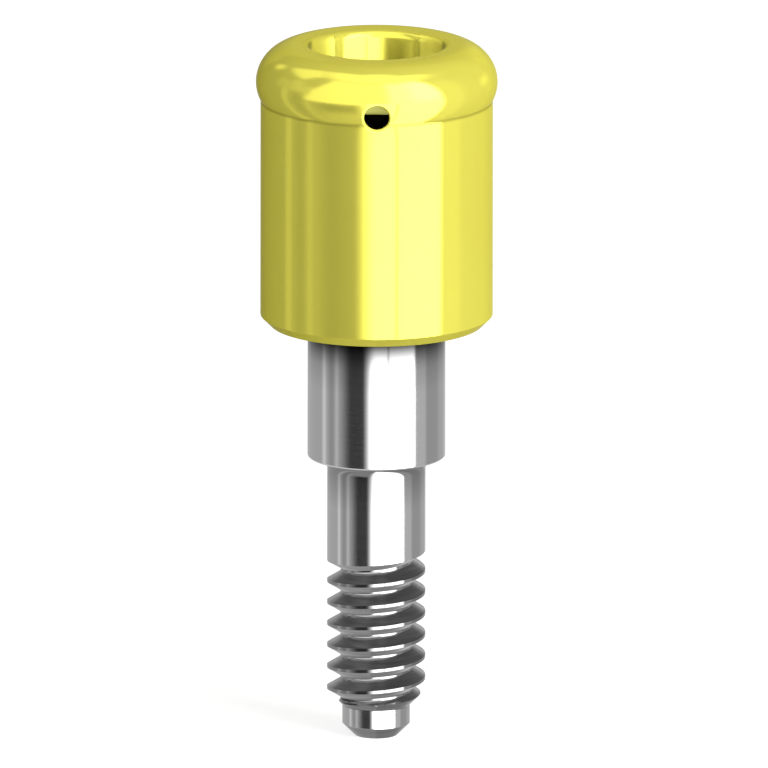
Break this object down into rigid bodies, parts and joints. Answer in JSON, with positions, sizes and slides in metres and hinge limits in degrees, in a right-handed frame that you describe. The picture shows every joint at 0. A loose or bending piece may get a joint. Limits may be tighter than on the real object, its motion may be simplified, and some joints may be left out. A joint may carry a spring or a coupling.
{
  "type": "dental abutment",
  "caption": "Stud-type dental abutment: round snap head with a slotted drive socket and vent hole, tall gum cuff, stepped connection post and fine screw thread.",
  "frame": {"origin": "on the axis, in the plane of the cuff's flat underside, where the part seats on its implant", "axes": "+Z along the axis towards the head, -Z down the post and thread into the implant, -Y towards the vent hole"},
  "size_m": [0.0038, 0.0038, 0.0113],
  "materials": {
    "gold_nitride_coat": "thin polished lemon-gold hard coating on titanium, over the head and the cuff",
    "bare_titanium": "bare fine-turned titanium, bright, on the post, shank, thread and point"
  },
  "bodies": {
    "root": {"abutment": "gold_nitride_coat"}
  },
  "joints": []
}
